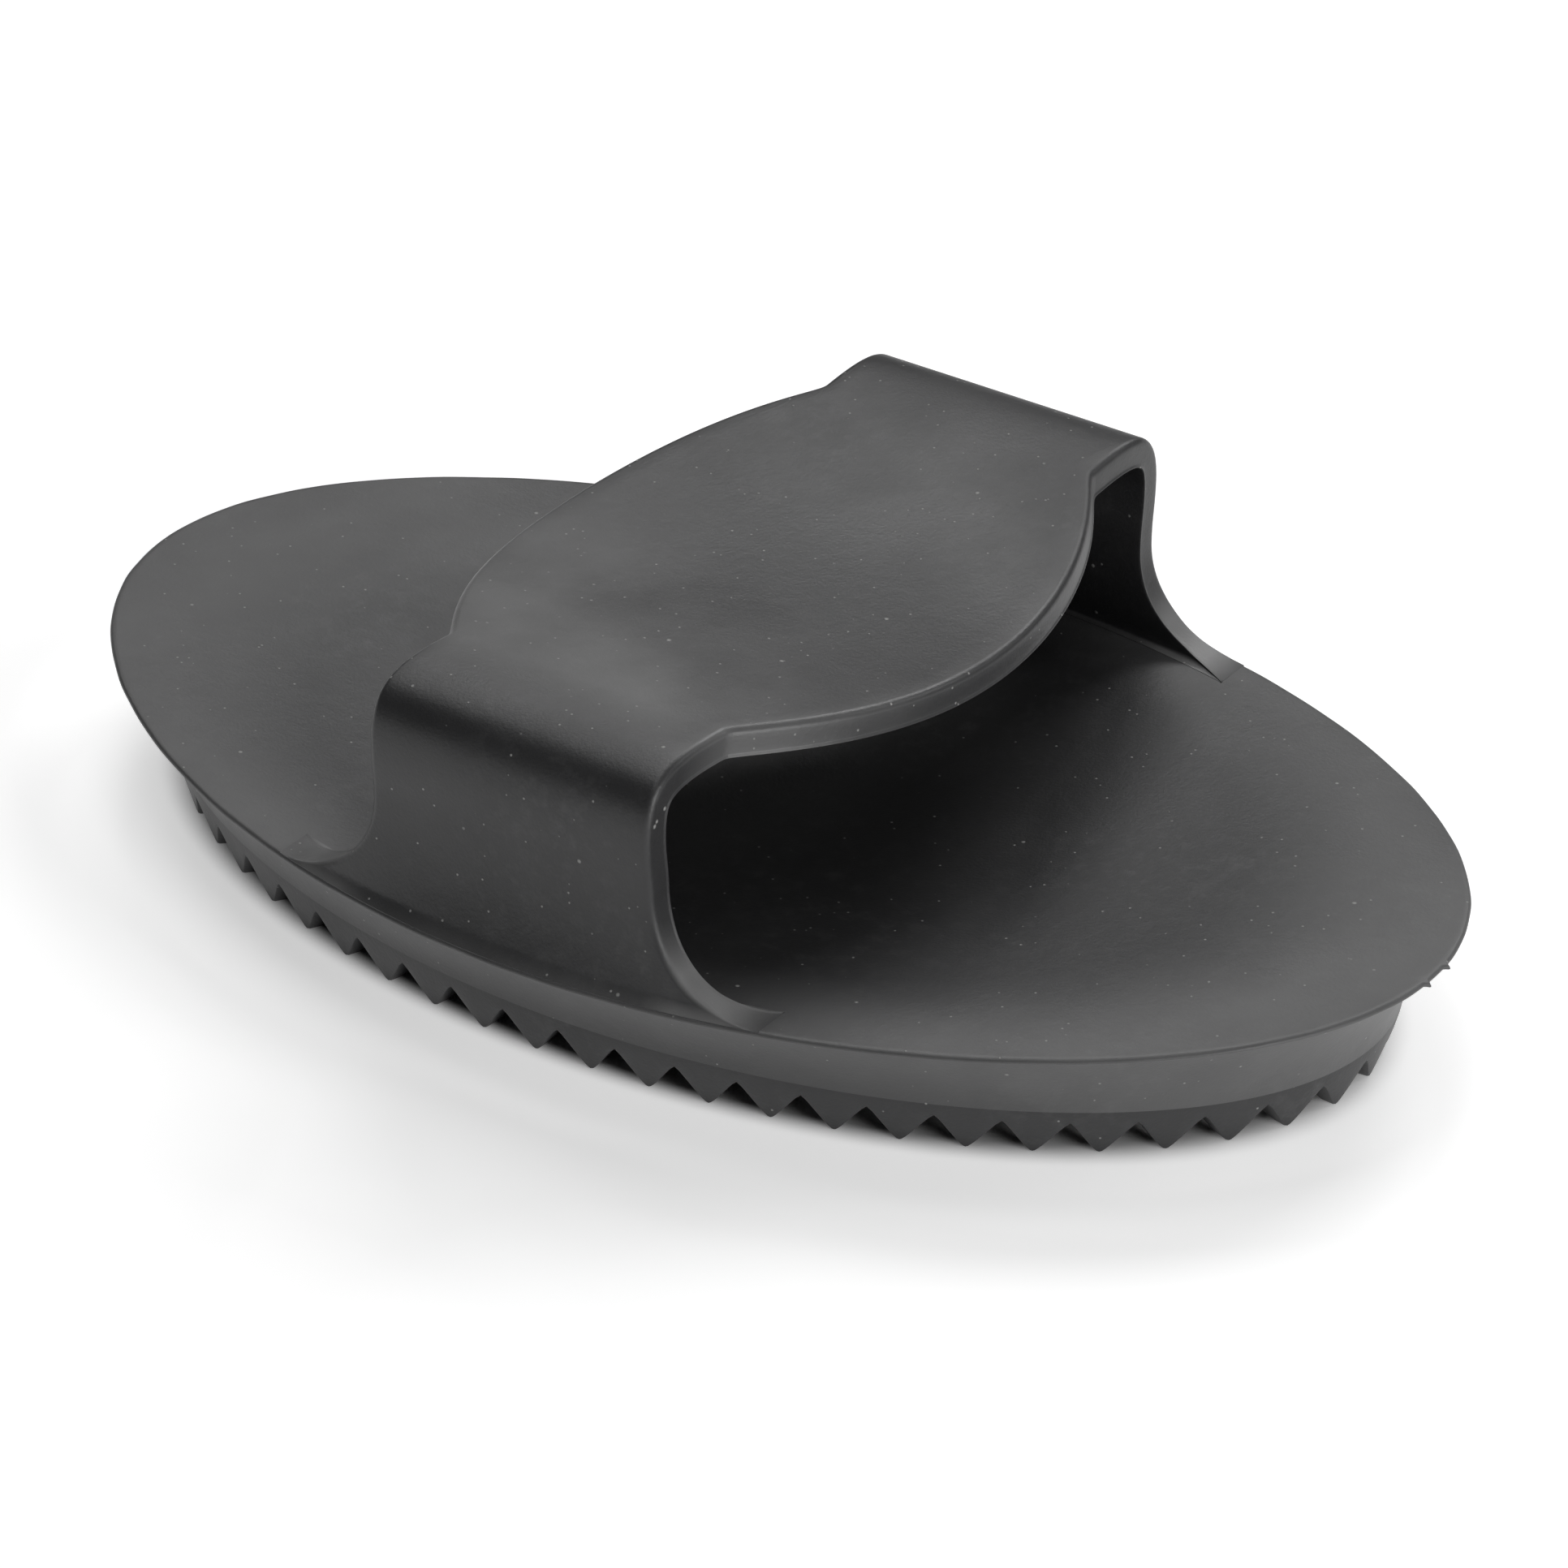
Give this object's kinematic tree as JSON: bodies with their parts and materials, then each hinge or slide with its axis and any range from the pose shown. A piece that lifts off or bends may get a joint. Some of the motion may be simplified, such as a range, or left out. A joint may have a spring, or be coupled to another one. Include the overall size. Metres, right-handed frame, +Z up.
{
  "type": "curry comb",
  "caption": "Oval moulded rubber curry comb with concentric rings of saw teeth below and a flexible hand strap above.",
  "frame": {"origin": "middle of the oval's footprint, on the plane of the tooth crests", "axes": "+X along the oval, +Y across it under the strap, +Z up out of the strap"},
  "size_m": [0.17, 0.107, 0.0423],
  "materials": {
    "base_rubber": "matt moulded black rubber, dusty, crisp at the rim",
    "tooth_rubber": "matt moulded black rubber, slightly worn on the tooth crests",
    "strap_rubber": "matt moulded black rubber, rubbed a little paler where the hand goes"
  },
  "bodies": {
    "base": {"base_plate": "base_rubber", "rim_wall": "base_rubber", "outer_tooth_ring": "tooth_rubber", "middle_tooth_ring": "tooth_rubber", "inner_tooth_ring": "tooth_rubber", "centre_tooth_bar": "tooth_rubber", "near_riser": "strap_rubber", "far_riser": "strap_rubber"},
    "palm": {"palm_panel": "strap_rubber"}
  },
  "joints": [
    {"name": "strap_flex", "type": "slide", "parent": "base", "child": "palm", "axis": [0, 0, 1], "range_m": [-0.01, 0.006], "stiffness_N_per_m": 2000, "deforming": ["near_riser", "far_riser"]}
  ]
}
